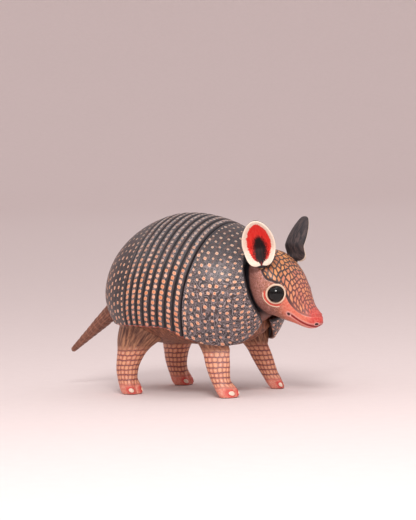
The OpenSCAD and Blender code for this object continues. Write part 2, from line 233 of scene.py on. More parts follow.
class Value:
    """A socket of a shader, with arithmetic that adds Math nodes."""

    def __init__(self, paint, socket):
        self.paint, self.socket = paint, socket

    def __abs__(self):
        return self.paint.math("ABSOLUTE", self)


for word, kind in (("add", "ADD"), ("sub", "SUBTRACT"), ("mul", "MULTIPLY"), ("truediv", "DIVIDE")):
    setattr(Value, f"__{word}__", lambda a, b, kind=kind: a.paint.math(kind, a, b))
    setattr(Value, f"__r{word}__", lambda a, b, kind=kind: a.paint.math(kind, b, a))


class Paint:
    """A procedural material built step by step."""

    def __init__(self, name):
        self.material = bpy.data.materials.new(name)
        self.material.use_nodes = True
        self.tree = self.material.node_tree
        self.shader = next(n for n in self.tree.nodes if n.type == "BSDF_PRINCIPLED")
        inputs = {0: self.output("Object", "ShaderNodeTexCoord"), "Scale": 1 / MM}
        self.place = self.output(0, "ShaderNodeVectorMath", inputs, operation="SCALE")

    def node(self, kind, inputs=(), **settings):
        """A new node with its settings, and what feeds its inputs by name or by number."""
        made = self.tree.nodes.new(kind)
        for key, value in settings.items():
            setattr(made, key, value)
        for key, value in dict(inputs).items():
            self.feed(made.inputs[key], value)
        return made

    def output(self, key, kind, inputs=(), **settings):
        """One output of a new node, by name or by number."""
        return Value(self, self.node(kind, inputs, **settings).outputs[key])

    def feed(self, socket, value):
        if isinstance(value, Value):
            value = value.socket
        if isinstance(value, bpy.types.NodeSocket):
            self.tree.links.new(value, socket)
        elif isinstance(value, (tuple, list)) and len(value) == 3 and socket.type == "RGBA":
            socket.default_value = (*value, 1)
        else:
            socket.default_value = value

    def math(self, operation, *values):
        return self.output(0, "ShaderNodeMath", dict(enumerate(values)), operation=operation)

    def attributes(self, *names):
        return [self.output("Fac", "ShaderNodeAttribute", attribute_name=name) for name in names]

    def xyz(self):
        made = self.node("ShaderNodeSeparateXYZ", {0: self.place})
        return [Value(self, o) for o in made.outputs]

    def vector(self, x, y, z=0.0):
        return self.output(0, "ShaderNodeCombineXYZ", {0: x, 1: y, 2: z})

    def step(self, value, low, high):
        """0 below low, 1 above high, smooth between; low may be the larger, and then it falls."""
        inputs = {"Value": value, "From Min": low, "From Max": high}
        return self.output("Result", "ShaderNodeMapRange", inputs, interpolation_type="SMOOTHSTEP")

    def mix(self, share, first, second):
        return self.output(2, "ShaderNodeMix", {0: share, 6: first, 7: second}, data_type="RGBA")

    def lay(self, under, over, value, low, high, share=None):
        """One colour over another where the value goes from low to high, or by a share of it."""
        amount = self.step(value, low, high)
        return self.mix(amount if share is None else amount * share, under, over)

    def noise(self, size, detail=2.0, roughness=0.5, place=None, distortion=0.0):
        """Noise about 0.5 with lumps of the given size in millimetres."""
        inputs = {"Vector": place or self.place, "Scale": 1 / size, "Detail": detail,
                  "Roughness": roughness, "Distortion": distortion}
        return self.output(0, "ShaderNodeTexNoise", inputs)

    def cells(self, size, feature, place, random, key=0):
        """Flat cells of the given size in millimetres."""
        inputs = {"Vector": place, "Scale": 1 / size, "Randomness": random}
        return self.output(key, "ShaderNodeTexVoronoi", inputs, feature=feature, voronoi_dimensions="2D")

    def chance(self, *values):
        """A random number per cell of whole numbers."""
        inputs = {"Vector": self.vector(*values)}
        return self.output("Value", "ShaderNodeTexWhiteNoise", inputs, noise_dimensions="3D")

    def floor(self, value):
        return self.math("FLOOR", value)

    def fract(self, value):
        return self.math("FRACT", value)

    def finish(self, colour, roughness, height, bump_mm, coat=0.0, coat_roughness=0.3, specular=0.4):
        bump = {"Strength": 1.0, "Distance": bump_mm * MM, "Height": height}
        looks = {"Base Color": colour, "Roughness": roughness, "Coat Weight": coat,
                 "Coat Roughness": coat_roughness, "Specular IOR Level": specular,
                 "Normal": self.output("Normal", "ShaderNodeBump", bump)}
        for key, value in looks.items():
            self.feed(self.shader.inputs[key], value)
        return self.material


# ---- shell ----

def shell_drop(x):
    return HIND_DROP + (SHOULDER_DROP - HIND_DROP) * smooth((x - DROP_FROM_X) / DROP_OVER)


def shell_field(p):
    x, y, z = p[..., 0], p[..., 1], p[..., 2]
    length = np.where(x < SHELL_X, SHELL_REAR, SHELL_FRONT)
    height = np.where(z > SHELL_Z, SHELL_UP, shell_drop(x))
    return ((np.abs(x - SHELL_X) / length) ** BLUNT + (np.abs(y) / (SHELL_WIDTH / 2)) ** BULGE
            + (np.abs(z - SHELL_Z) / height) ** BULGE)


BEYOND_SHELL, REACH_HALVINGS = 70.0, 22


def reach(p, d):
    """How far it is from points p along directions d to the shell's outside, by halving."""
    low, high = np.zeros(d.shape[:-1]), np.full(d.shape[:-1], BEYOND_SHELL)
    for _ in range(REACH_HALVINGS):
        mid = (low + high) / 2
        inside = shell_field(p + mid[..., None] * d) < 1
        low, high = np.where(inside, mid, low), np.where(inside, high, mid)
    return (low + high) / 2


def ray(a, w, t):
    """Direction at angle a from the front, w round from the top, tilted by t."""
    return np.stack([cosd(a) * cosd(t) + sind(a) * cosd(w) * sind(t), sind(a) * sind(w) + 0 * t,
                     sind(a) * cosd(w) * cosd(t) - cosd(a) * sind(t)], -1)


COLLAR_SIDE, COLLAR_TOP, COLLAR_UNDER, COLLAR_UNDER_FROM, COLLAR_UNDER_OVER = 33, 9, 4, 130, 40


def collar_angle(w):
    """Angle of the shell's front opening, w round from the top."""
    under = smooth((np.abs(w) - COLLAR_UNDER_FROM) / COLLAR_UNDER_OVER)
    return COLLAR_SIDE + COLLAR_TOP * np.abs(cosd(w / 2)) ** 6 + COLLAR_UNDER * under


def section(kind, f, x=0.0):
    """Pivot, tilt, kind and progress of one section: -1 behind the bands, 0 in them, 1 in front."""
    if kind < 0:
        pivot_z = PIVOT_Z + (ARCH_Z - PIVOT_Z) * float(smooth(f))
        return [GROOVE_START - GROOVE_WIDTH, pivot_z, BAND_TILT * (1 - f), -1, f]
    if kind > 0:
        return [GROOVE_END + GROOVE_WIDTH, PIVOT_Z + (COLLAR_PIVOT_Z - PIVOT_Z) * f,
                BAND_TILT + (COLLAR_TILT - BAND_TILT) * f, 1, f]
    return [x, PIVOT_Z, BAND_TILT, 0, 0.0]


def shell_rays(s, w):
    """Pivots and directions for sections s (n, 5) and angles w (n, m)."""
    kind, f = s[:, 3:4], s[:, 4:5]
    to_collar = np.where(kind > 0, 90 - (90 - collar_angle(w)) * f, 90 + 0 * w)
    angle = np.where(kind < 0, 90 + (90 - ARCH_ANGLE) * f, to_collar)
    pivot = np.stack([s[:, 0:1] + 0 * w, 0 * w, s[:, 1:2] + 0 * w], -1)
    return pivot, ray(angle, w, s[:, 2:3] + 0 * w)


RIM_ANGLE_LOW, RIM_ANGLE_HIGH, RIM_HALVINGS = 60.0, 165.0, 18


def rim_angles(s):
    """Angle round the axis at which each section meets the rim."""
    low, high = np.full((len(s), 1), RIM_ANGLE_LOW), np.full((len(s), 1), RIM_ANGLE_HIGH)
    for _ in range(RIM_HALVINGS):
        mid = (low + high) / 2
        p, d = shell_rays(s, mid)
        q = p + reach(p, d)[..., None] * d
        above = q[..., 2] > np.interp(q[..., 0], RIM_X, RIM_Z)
        low, high = np.where(above, mid, low), np.where(above, high, mid)
    return low[:, 0]


def throat_dent(p):
    """Depth of the hollow under the chin."""
    forward, below = smooth((p[..., 0] - THROAT_X) / 11), smooth((THROAT_Z - p[..., 2]) / 12)
    return THROAT_DENT * bell(p[..., 1], THROAT_WIDTH) * forward * below


def section_rims(s):
    """The CAD rim: solved on the rear and the bands, opening over the tail, and sweeping under in front."""
    rims = rim_angles(s)
    last_band = rim_angles(np.array([section(0, 0, GROOVE_END + GROOVE_WIDTH / 2)]))[0]
    arch_start = rim_angles(np.array([section(-1, ARCH_RING)]))[0]
    rear, front = s[:, 3] < 0, s[:, 3] > 0
    arch = np.clip((s[:, 4] - ARCH_RING) / (1 - ARCH_RING), 0, 1)
    rims = np.where(rear & (s[:, 4] > ARCH_RING), arch_start + (ARCH_OPEN - arch_start) * arch, rims)
    return np.where(front, last_band + (RIM_FRONT_ANGLE - last_band) * s[:, 4] ** RIM_SWEEP, rims)


CUT_DEPTH, CUT_WIDTH, BAND_CROWN = GROOVE_DEPTH * 1.25, 0.34, 0.16


def carved(s):
    """Depth of the carving along the bands: a groove at every pitch, and bands that crown between them."""
    x = s[:, 0]
    depth = sum(CUT_DEPTH * bell(x - (GROOVE_START + k * PITCH), CUT_WIDTH) for k in range(GROOVES))
    crown = BAND_CROWN * (1 - np.abs(((x - GROOVE_START) / PITCH) % 1 - 0.5) * 2) ** 0.7
    return np.where(s[:, 3] == 0, depth - crown, 0)


LATERAL, LAST_ROW = 300, (GROOVES - 1) * PITCH
SHELL_WAVE, RIM_ROUND, RIM_ROUND_OVER, COLLAR_ROUND = 0.06, 0.55, 0.7, 0.5
STEEPEST_SHRINK, NO_COLLAR = 0.4, 99


def shell_part(name, sections, material, with_rows):
    s = np.array(sections)
    rims = section_rims(s)
    v = np.linspace(-1, 1, LATERAL + 1)
    w = rims[:, None] * v
    pivot, way = shell_rays(s, w)
    surface = pivot + reach(pivot, way)[..., None] * way
    arc = running(step_lengths(surface, 1), 1)
    length = arc[:, -1:]
    rim = np.minimum(arc, length - arc)
    arc = arc - arc[:, LATERAL // 2][:, None]
    rows = with_rows(s, surface)
    # How fast the sections shorten from row to row, so that the painted dots don't lean.
    shrink = np.gradient(np.log(length + 0.01), axis=0) / (np.gradient(rows, axis=0) + 1e-4)
    shrink = np.clip(shrink, -STEEPEST_SHRINK, STEEPEST_SHRINK)
    dent = throat_dent(surface)
    wave = SHELL_WAVE * ripple(surface, 9, 3)
    round_off = RIM_ROUND * np.clip(1 - rim / RIM_ROUND_OVER, 0, 1) ** 2
    front_edge = COLLAR_ROUND * np.clip((s[:, 4] - 0.975) / 0.025, 0, 1)[:, None] ** 2
    front = surface - (dent + carved(s)[:, None] + wave + round_off + front_edge)[..., None] * way
    wall = RIM_WALL + (WALL - RIM_WALL) * (1 - np.abs(v) ** 5) * (1 - s[:, 4:5] ** 6)
    back = surface - (dent + wall)[..., None] * way
    collar = np.where(s[:, 3:4] > 0, (1 - s[:, 4:5]) * 30, NO_COLLAR) + 0 * arc
    facts = dict(row=rows, arc=arc, rim=rim, shrink=shrink, collar=collar)
    sheet_piece(name, front, back, facts, material, "figure", ["carapace"], "shell_paint", flip=True)


def band_rows(s, surface):
    return (s[:, 0:1] - GROOVE_START) + 0 * surface[..., 0]


def shield_rows(s, surface):
    """Distance over the surface from the groove, counted on from the bands in front and below zero behind."""
    rows = running(step_lengths(surface, 0), 0)
    if s[0, 3] < 0 or s[-1, 3] < 0:
        return rows - rows[-1:]
    return rows + LAST_ROW


REAR_STEPS, BAND_STEPS, FRONT_STEPS = 70, 14, 84


def shell_pieces(material):
    rear = [section(-1, 1 - (k / REAR_STEPS) ** 0.8 if k else 1.0) for k in range(REAR_STEPS)]
    rear += [section(0, 0, GROOVE_START - GROOVE_WIDTH * (1 - k / 5)) for k in range(6)]
    band_steps = (GROOVES - 1) * BAND_STEPS + 1
    bands = [section(0, 0, GROOVE_START + PITCH * k / BAND_STEPS) for k in range(band_steps)]
    front = [section(0, 0, GROOVE_END + GROOVE_WIDTH * k / 5) for k in range(6)]
    front += [section(1, k / FRONT_STEPS) for k in range(1, FRONT_STEPS + 1)]
    shell_part("shell_rear_shield", rear, material, shield_rows)
    shell_part("shell_bands", bands, material, band_rows)
    shell_part("shell_front_shield", front, material, shield_rows)


# ---- trunk ----

CORE_GAP = WALL + GLUE_GAP
CORE_REAR, CORE_FRONT = SHELL_REAR - CORE_GAP, SHELL_FRONT - CORE_GAP
RUMP_RISE, RUMP_X, CHEST_RISE, CHEST_RISE_X = 10.5, -14, 5, 16
BELLY_WAVE, BELLY_WAVE_BELOW = 0.12, 30


def girth(x):
    """Share of the trunk's full width and height that is left at x."""
    length = np.where(x < SHELL_X, CORE_REAR, CORE_FRONT)
    return np.maximum(0, 1 - (np.abs(x - SHELL_X) / length) ** BLUNT) ** (1 / BULGE)


def trunk_half_width(x):
    return (SHELL_WIDTH / 2 - CORE_GAP) * girth(x)


def trunk_bottom(x):
    rump, chest = np.maximum(0, (RUMP_X - x) / 20), np.maximum(0, (x - CHEST_RISE_X) / 12)
    return BELLY_Z + RUMP_RISE * rump ** 2 + CHEST_RISE * chest ** 2


def trunk_piece(material):
    x = np.concatenate([SHELL_X - (CORE_REAR - 1.2) * np.cos(np.linspace(0, np.pi / 2, 50)[:-1]),
                        np.linspace(SHELL_X, CHEST_X, 60)])[:, None]
    a = np.linspace(0, 360, 160, endpoint=False)[None, :]
    e = 2 / BULGE
    top = SHELL_Z + (SHELL_UP - CORE_GAP) * girth(x)
    rise = np.where(sind(a) > 0, top - SHELL_Z, SHELL_Z - trunk_bottom(x))
    y, z = trunk_half_width(x) * power(cosd(a), e), SHELL_Z + rise * power(sind(a), e)
    rings = np.stack([x + 0 * a, y, z], -1)
    rings[..., 2] += BELLY_WAVE * ripple(rings, 8, 5) * (rings[..., 2] < BELLY_WAVE_BELOW)
    loft_piece("body_core", rings, {}, material, "figure", ["trunk"], "body_paint", flip=True)


# ---- legs ----

# Rings from the sole up, as (share of the height, x from the foot's middle, half length, half width).
FRONT_LEG_KEYS = [[0, -0.3, 2.7, 2.7], [0.06, -1, 3.3, 3.3], [0.14, -2, 3.5, 3.5], [0.25, -3.5, 3.6, 3.5],
                  [0.35, -4.4, 4, 3.7], [0.5, -5.4, 4.6, 4.1], [0.67, -6.4, 5, 4.4], [0.85, -7.9, 6, 4.6],
                  [1, -9.2, 7.2, 4.8]]
HIND_LEG_KEYS = [[0, -0.3, 3.3, 2.9], [0.06, -1, 3.7, 3.4], [0.14, -1.7, 3.7, 3.5], [0.27, -2.4, 4, 3.6],
                 [0.4, -2.5, 4.5, 3.9], [0.55, -1.8, 5.2, 4.3], [0.7, -0.8, 6.3, 4.7], [0.85, 0.2, 8.2, 5],
                 [1, 1.8, 10, 5.2]]
LEG_INWARD, FRONT_RIM_Z, HIND_RIM_Z = 2.8, 18.0, 25.2
LEG_GAP, LEG_LEAN, LEG_FLARE, LEG_TOP_GAP = 1.7, 0.36, 0.5, 0.1
TOE_ANGLES, TOE_BUMP, TOE_SPREAD, TOE_RADIUS = (-32, 48), 1.1, 24.0, 4.2
TOE_CLEFT, CLEFT_DEPTH, CLEFT_SPREAD = 8.0, 0.45, 9
NAIL_Z, NAIL_WIDTH, NAIL_HEIGHT = 1.75, 0.95, 0.85
NAIL_RISE, NAIL_LINE, LEG_WAVE, WAVE_TOP = 0.28, 0.12, 0.05, 24


def belly_over(x, y):
    """Height of a leg's top, just under the trunk."""
    t = np.minimum(np.abs(y) / trunk_half_width(x), 1)
    belly = SHELL_Z - (SHELL_Z - trunk_bottom(x)) * (1 - t ** BULGE) ** (1 / BULGE)
    return np.minimum(LEG_TOP_Z, belly) - LEG_TOP_GAP


def leg_limit(x, z, rim):
    """How far out a leg may reach: short of the shell above its rim, and freer below it."""
    length = np.where(x < SHELL_X, SHELL_REAR, SHELL_FRONT)
    drop = np.abs(np.maximum(z, rim) - SHELL_Z) / shell_drop(x)
    share = 1 - (np.abs(x - SHELL_X) / length) ** BLUNT - drop ** BULGE
    return ((SHELL_WIDTH / 2) * np.maximum(0, share) ** (1 / BULGE) - LEG_GAP
            - LEG_LEAN * np.maximum(0, z - rim) + LEG_FLARE * np.maximum(0, rim - z))


def turn_to(a, b):
    """Smallest turn from angle b to angle a, in degrees."""
    return (a - b + 540) % 360 - 180


def leg_piece(name, keys, foot_x, rim, side, material, node, seed):
    rows, columns = 170, 150
    t = np.linspace(0, len(keys) - 1, rows)
    k = through(keys, t)[:, None, :]
    a = -ring_angles(columns)
    h = k[..., 0]
    # Two toes bulge out of the foot's ring, with a cleft between them.
    bump = TOE_BUMP * (1 - smooth((h - 0.1) / 0.16)) * smooth(h * 14 + 0.45)
    toes = bump * np.maximum(*[np.exp(-(turn_to(a, t0) / TOE_SPREAD) ** 2) for t0 in TOE_ANGLES])
    toes -= CLEFT_DEPTH * bump * bell(turn_to(a, TOE_CLEFT), CLEFT_SPREAD)

    def place(shrink, grow):
        x = foot_x + k[..., 1] + shrink * k[..., 2] * grow * cosd(a)
        out = FOOT_TRACK / 2 - LEG_INWARD * smooth(h) + shrink * k[..., 3] * grow * sind(a)
        level = belly_over(foot_x + k[..., 1], FOOT_TRACK / 2 - LEG_INWARD)
        z = h * level + (belly_over(x, out) - level) * h ** 4
        y = -np.log(np.exp(-out) + np.exp(-leg_limit(x, z, rim)))
        return np.stack([x, y, h * level + (belly_over(x, y) - level) * h ** 4], -1)

    skin = place(1, 1 + toes / k[..., 2])
    # Distance from the middle of the nearest nail, 1 at its edge.
    per_degree, up = 2 * math.pi * TOE_RADIUS / 360, (skin[..., 2] - NAIL_Z) / NAIL_HEIGHT
    nail = np.minimum(*[np.hypot(turn_to(a, t0) * per_degree / NAIL_WIDTH, up) for t0 in TOE_ANGLES])
    nail = np.minimum(nail, 9.0)
    out_way = np.stack([cosd(a) + 0 * h, sind(a) + 0 * h, 0 * a + 0 * h], -1)
    raised = NAIL_RISE * np.clip(1.15 - nail, 0, 1) ** 0.6 - NAIL_LINE * bell(nail - 1.35, 0.25)
    raised += LEG_WAVE * ripple(skin, 5, seed)
    raised *= np.clip(skin[..., 2] / 0.6, 0, 1) * (skin[..., 2] < min(rim, WAVE_TOP) - 3)
    skin = skin + raised[..., None] * out_way
    cap = [place(q, 1)[-1:] for q in (0.75, 0.45, 0.15)]
    rings = np.concatenate([skin, *cap])
    facts = dict(turn=turn_to(a, 180) + 0 * h, nail=nail)
    facts = {key: np.concatenate([v, np.repeat(v[-1:], len(cap), 0)]) for key, v in facts.items()}
    rings = rings * [1, side, 1]
    loft_piece(name, rings, facts, material, "figure", [node], "leg_paint", flip=side > 0)


# ---- head ----

# Rings from the neck to the nose, as (x, z, lean, half width, height above and depth below the middle).
HEAD_KEYS = [[28, 40.4, 0, 10.6, 12.6, 14], [31.4, 41, 3, 11.5, 12.7, 12.8], [35.4, 40.6, 11, 12, 12, 11.2],
             [40, 38.3, 22, 10.9, 9.3, 9.8], [44.2, 34.2, 32, 8, 6.9, 7.7], [47.6, 30.5, 36, 5.7, 4.7, 5.1],
             [50.6, 28.3, 35, 4.4, 3.6, 3.9], [52.7, 27.2, 33, 3.4, 2.9, 3],
             [NOSE_X, 26.5, 30, 1.3, 1.2, 1.1]]
HEAD_ROUND = 2.15
# Curves painted and carved on the side of the head, as (x, z).
SHIELD_EDGE = [(33, 53), (35.4, 49.5), (37, 46), (38.8, 43.6), (41.4, 42.4), (43.8, 40.4), (45.3, 37),
               (46.8, 33.4), (49.2, 30.8), (52, 29.5), (54.5, 29.3), (58, 29.6)]
LOWER_LID = [(37.4, 38.4), (37.3, 36.2), (38.8, 34.0), (41.0, 33.2), (42.2, 33.3)]
MOUTH = [(44.8, 30.5), (45.8, 29.8), (47.6, 28.2), (49.6, 26.9), (51.6, 26), (53.4, 25.5), (55, 25.6)]
MOUTH_CORNER = (44.8, 30.3)
NOSTRIL = (54.0, 1.9, 26.3)
# Where the head goes under the shell, as x along z.
COLLAR_X, COLLAR_Z = [34.6, 34.8, 33.8, 32.4, 31.2, 30.2], [27, 31, 35, 40, 46, 53]


def head_piece(material):
    rows, columns = 250, 260
    k = through(HEAD_KEYS, np.linspace(0, len(HEAD_KEYS) - 1, rows))[:, None, :]
    a = ring_angles(columns)
    e = 2 / HEAD_ROUND
    across = k[..., 3] * power(cosd(a), e)
    rise = np.where(sind(a) > 0, k[..., 4], k[..., 5]) * power(sind(a), e)
    skin = np.stack([k[..., 0] + rise * sind(k[..., 2]), across, k[..., 1] + rise * cosd(k[..., 2])], -1)
    out_way = np.stack([0.35 * np.ones_like(across), across / 10, rise / 10], -1)
    out_way /= np.linalg.norm(out_way, axis=-1, keepdims=True)
    side = skin[..., [0, 2]]
    mirrored = np.stack([skin[..., 0], np.abs(skin[..., 1]), skin[..., 2]], -1)
    edge = curve_distance(side, SHIELD_EDGE, 120)
    line = through(SHIELD_EDGE, np.linspace(0, len(SHIELD_EDGE) - 1, 200))
    above = skin[..., 2] > np.interp(skin[..., 0], *line.T)
    shield = np.where(above, edge, -edge)
    eye = np.linalg.norm(mirrored - EYE, axis=-1) - EYE_R
    lid = curve_distance(side, LOWER_LID)
    mouth = curve_distance(side, MOUTH)
    corner = np.linalg.norm(side - MOUTH_CORNER, axis=-1)
    off_middle = np.abs(skin[..., 1]) > 0.4
    nostril = np.linalg.norm((mirrored - NOSTRIL) / [1, 1, 0.75], axis=-1)
    collar = skin[..., 0] - np.interp(skin[..., 2], COLLAR_Z, COLLAR_X)
    # The shield, eyelids, mouth and nostrils stand out or are cut in by fractions of a millimetre.
    lift = 0.22 * smooth((shield + 0.15) / 0.5) - 0.16 * bell(shield + 0.15, 0.3)
    lift += 0.36 * bell(eye - 0.2, 0.34) * (eye > -1.5) - 0.16 * bell(eye - 0.75, 0.22)
    lift += 0.26 * bell(lid, 0.36)
    lift -= (0.3 * bell(mouth, 0.28) + 0.35 * bell(corner, 0.6) - 0.16 * bell(mouth - 0.75, 0.4)) * off_middle
    lift -= 0.55 * bell(nostril, 0.6) - 0.16 * bell(nostril - 1.0, 0.3)
    lift += 0.09 * ripple(skin, 7, 11)
    lift *= np.clip((NOSE_X + 2 - skin[..., 0]) / 3, 0, 1)
    skin = skin + lift[..., None] * out_way
    # Distances round and along the head for its painted scales, which are finer towards the nose.
    finer = 1 + 0.35 * smooth((skin[..., 0] - 45) / 6)
    around = np.linalg.norm(np.roll(skin, -1, 1) - skin, axis=-1) * finer
    around = running(around[:, :-1], 1)
    crown = columns // 4
    around -= around[:, crown:crown + 1]
    along = running(step_lengths(skin, 0) * finer[1:], 0)
    facts = dict(around=around, along=along, shield=shield, eye=eye, lid=lid, mouth=mouth, corner=corner,
                 nostril=nostril, collar=collar)
    loft_piece("head_carving", skin, facts, material, "figure", ["head"], "head_paint", flip=True)


def eye_piece(name, side, material, node):
    rows, columns = 60, 80
    t = np.linspace(0.5, 179.5, rows)[:, None]
    a = ring_angles(columns)
    rings = EYE_R * np.stack([sind(t) * cosd(a), cosd(t) + 0 * a, sind(t) * sind(a)], -1)
    # 1 where the bead faces outward and a little ahead, falling to the back.
    facing = rings @ np.array([EYE_AHEAD, 1, 0]) / EYE_R
    rings = (rings + EYE) * [1, side, 1]
    loft_piece(name, rings, {"facing": facing}, material, "figure", [node], "eye_lacquer", flip=side > 0)


# ---- ears ----

def ear_half_width(u):
    return (EAR_WIDTH / 2) * np.maximum(sind(180 * u ** EAR_WIDEST), 0.02) ** EAR_FULLNESS


def ear_place(p, side):
    """From the ear's own frame, z along its peg and x out of its hollow side, onto the head."""
    turn = rotation(EAR_LEAN_FRONT, "Y") @ rotation(EAR_LEAN_OUT, "X") @ rotation(-EAR_TURN_OUT, "Z")
    return (p @ np.array(turn).T * [1, -1, 1] + EAR_FOOT) * [1, side, 1]


def ear_pieces(name, side, material, node, body):
    rows, columns = 110, 90
    u = (0.02 + 0.975 * np.linspace(0, 1, rows))[:, None]
    v = np.linspace(-1, 1, columns)[None, :]
    w = ear_half_width(u)
    cup = EAR_CUP * (1 - EAR_OPENING * u) * w * 2 / EAR_WIDTH
    wall = EAR_WALL + EAR_ROOT_WALL * (1 - smooth(u / EAR_ROOT_SHARE))
    middle = cup * (v * v - smooth((u - 0.05) / 0.28)) + EAR_TIP_CURL * u * u
    half = wall / 2 * (1 - 0.35 * np.abs(v) ** 4)
    y, z = w * v, EAR_LEAF_FOOT + u * (EAR_LENGTH - EAR_LEAF_FOOT) + 0 * v
    edge = np.stack([w[:, 0], z[:, 0]], -1)
    rim = line_distance(np.stack([y, z], -1), np.concatenate([edge, edge[::-1] * [-1, 1]]))
    roll = 0.22 * bell(rim - 0.7, 0.7) * smooth(u / 0.2)
    soft = 0.35 * np.clip(1 - rim / 0.5, 0, 1) ** 2 * smooth(u / 0.15)
    front = np.stack([middle + half + roll - soft + 0 * y, y, z], -1)
    back = np.stack([middle - half + soft + 0 * y, y, z], -1)
    facts = dict(rim=rim, across=y, up=z)
    front, back = ear_place(front, side), ear_place(back, side)
    sheet_piece(name + "_leaf", front, back, facts, material, body, [node], "ear_paint", flip=side > 0)
    # A turned stub under the leaf, with the peg's bore in it.
    a = ring_angles(48)[0]
    rings = []
    for r, h in [(EAR_BORE_R, EAR_STUB_H), (EAR_BORE_R, 0), (EAR_STUB_D / 2 - 0.2, 0), (EAR_STUB_D / 2, 0.2),
                 (EAR_STUB_D / 2 - 0.05, 1.1), (EAR_STUB_D / 2 - 0.5, EAR_STUB_H)]:
        rings.append(np.stack([r * cosd(a), r * sind(a), h + 0 * a], -1))
    rings = ear_place(np.array(rings), side)
    facts = dict(rim=3.0, across=0.0, up=0.0, side=1.0)
    facts = {key: np.full(rings.shape[:2], value) for key, value in facts.items()}
    faces, points = grid_faces(*rings.shape[:2], wrap=True, closed=True), rings.reshape(-1, 3)
    mesh_piece(name + "_stub", points, faces, facts, material, body, [node], "ear_paint", side < 0)


# ---- tail ----

TAIL_RING, NOTCHES_FROM, NOTCHES_TO, NOTCH_DEPTH = 2.6, 9, 33, 0.13


def tail_piece(material):
    rows, columns = 130, 72
    f = np.linspace(0, 1, rows)[:, None]
    a = ring_angles(columns)
    radius = TAIL_TIP_R + (TAIL_ROOT_D / 2 - TAIL_TIP_R) * (1 - f) ** 0.9
    radius = radius * (1 - 0.75 * np.clip((f - 0.975) / 0.025, 0, 1) ** 2)
    along = f * (TAIL_LENGTH + TAIL_END)
    notch = ((along - NOTCHES_FROM) / TAIL_RING) % 1
    notches = (along > NOTCHES_FROM) * (along < NOTCHES_TO)
    radius = radius - NOTCH_DEPTH * bell(notch - 0.5, 0.16) * notches
    local = np.stack([radius * cosd(a), radius * sind(a), along + 0 * a], -1)
    local[..., :2] *= (1 + 0.02 * ripple(local, 6, 21))[..., None]
    turn = rotation(-90 - TAIL_SLOPE, "Y")
    rings = local @ np.array(turn).T + TAIL_ROOT
    # The first two rings are the bore for the peg.
    depth = np.array([[TAIL_BORE_DEPTH], [0.0]]) + 0 * a
    hole = np.stack([TAIL_BORE_R * cosd(a) + 0 * depth, TAIL_BORE_R * sind(a) + 0 * depth, depth], -1)
    rings = np.concatenate([hole @ np.array(turn).T + TAIL_ROOT, rings])
    facts = dict(along=np.concatenate([0 * depth, along + 0 * a]),
                 turn=np.repeat(turn_to(a, 0), rows + 2, 0))
    loft_piece("tail_carving", rings, facts, material, "tail", ["tail"], "tail_paint", flip=True)


# ---- paints ----

CHARCOAL, CHARCOAL_PALE = (0.034, 0.031, 0.036), (0.10, 0.088, 0.096)
# Near-black for the painted grooves and the shell's front edge, and for painted shade under the shell.
BLACK_PAINT_AND_SHADE = (0.012, 0.010, 0.013)
PEACH, CREAM, PALE_GREY = (0.80, 0.38, 0.20), (0.83, 0.62, 0.46), (0.50, 0.42, 0.42)
CORAL, RED, DARK_RED = (0.72, 0.15, 0.09), (0.62, 0.025, 0.02), (0.20, 0.018, 0.018)
MAROON, PINK, ROSY = (0.05, 0.008, 0.010), (0.80, 0.40, 0.36), (0.56, 0.24, 0.17)
BROWN, DARK_BROWN, WOOD = (0.30, 0.11, 0.055), (0.10, 0.035, 0.025), (0.55, 0.36, 0.19)


def round_square(p, x, y):
    """Distance from a cell's middle that grows as a rounded square."""
    return p.math("POWER", p.math("POWER", abs(x), 3.0) + p.math("POWER", abs(y), 3.0), 1 / 3)


def fine_of(p):
    return p.noise(0.6, 3, 0.6)


# Spacings of the shell's painted dots, along the bands and on the shields.
BAND_DOTS, FRONT_ROWS, REAR_ROWS, FIRST_DOTS, MORE_DOTS, SHIELD_FROM = 2.02, 2.75, 3.1, 2.05, 0.85, 0.35


